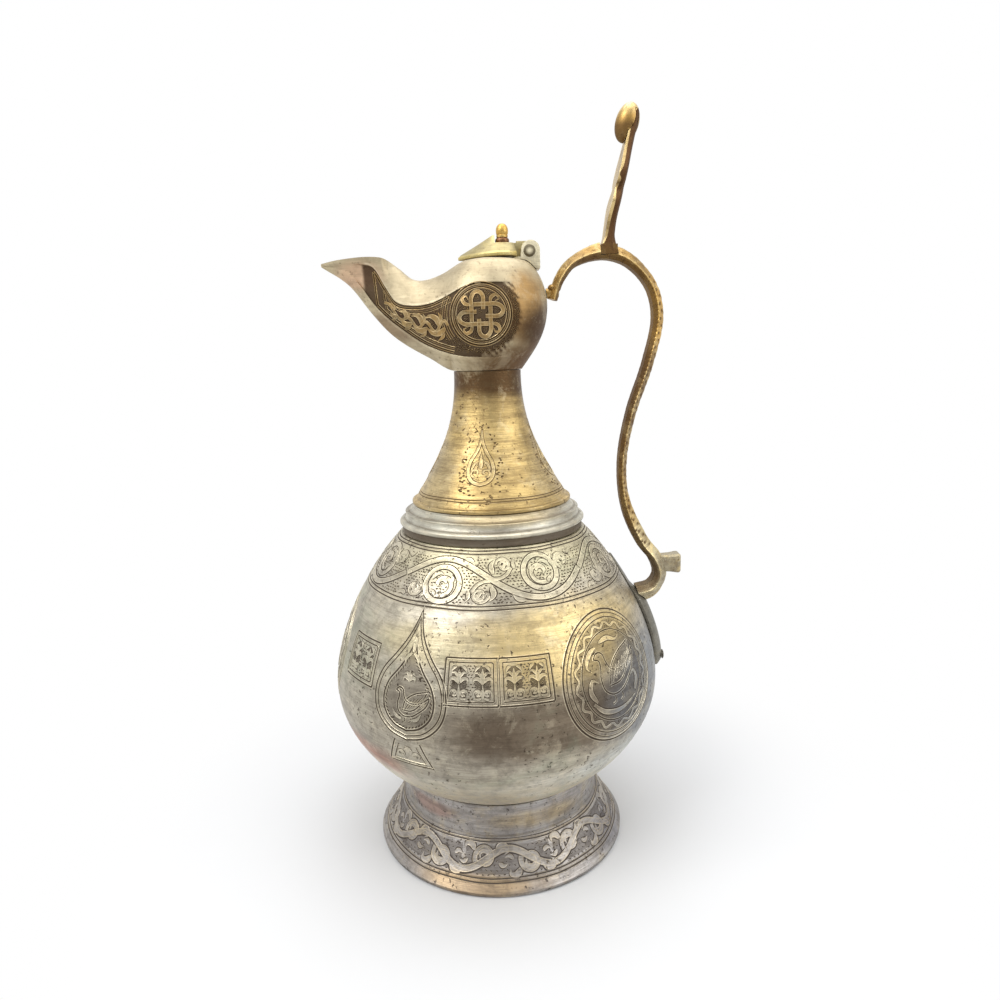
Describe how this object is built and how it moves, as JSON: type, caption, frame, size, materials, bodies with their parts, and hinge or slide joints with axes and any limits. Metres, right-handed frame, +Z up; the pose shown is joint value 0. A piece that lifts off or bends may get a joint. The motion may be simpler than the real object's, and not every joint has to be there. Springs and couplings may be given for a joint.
{
  "type": "ewer",
  "caption": "Bronze ewer with a pear-shaped body on a flared foot, a lamp-shaped spouted head with a hinged lid, and a tall strap handle with an upright thumb piece.",
  "frame": {"origin": "on the table, under the middle of the whole object's box; the vessel's own axis stands 6.5 mm to -X of it", "axes": "+Z up, the spout points to -X, the handle is at +X, and the plane Y = 0 is the plane of symmetry"},
  "size_m": [0.1668, 0.1538, 0.3363],
  "materials": {
    "vessel_bronze": "olive-grey worn bronze with engraving",
    "neck_brass": "golden worn brass with fine turning lines",
    "head_bronze": "pale worn bronze with a dark sunk panel",
    "lid_brass": "worn yellow brass, facets pale and edge darker",
    "knob_copper": "reddish dark bronze",
    "handle_brass": "bright yellow brass with dark undersides",
    "dark_bronze": "dark grey-brown bronze"
  },
  "bodies": {
    "root": {"foot": "vessel_bronze", "body": "vessel_bronze", "shoulder_collar": "vessel_bronze", "neck": "neck_brass", "head": "head_bronze", "hinge_bracket": "head_bronze", "hinge_pin": "dark_bronze", "handle": "handle_brass", "handle_top_rivet": "head_bronze", "escutcheon": "dark_bronze", "escutcheon_rivet": "dark_bronze", "thumb_piece": "handle_brass", "thumb_knob": "handle_brass"},
    "lid": {"lid": "lid_brass", "knob_washer": "knob_copper", "lid_knob": "lid_brass"}
  },
  "joints": [
    {"name": "lid_hinge", "type": "hinge", "parent": "root", "child": "lid", "pos_m": [0.0135, 0, 0.2759], "axis": [0, 1, 0], "range_deg": [0, 110]}
  ]
}
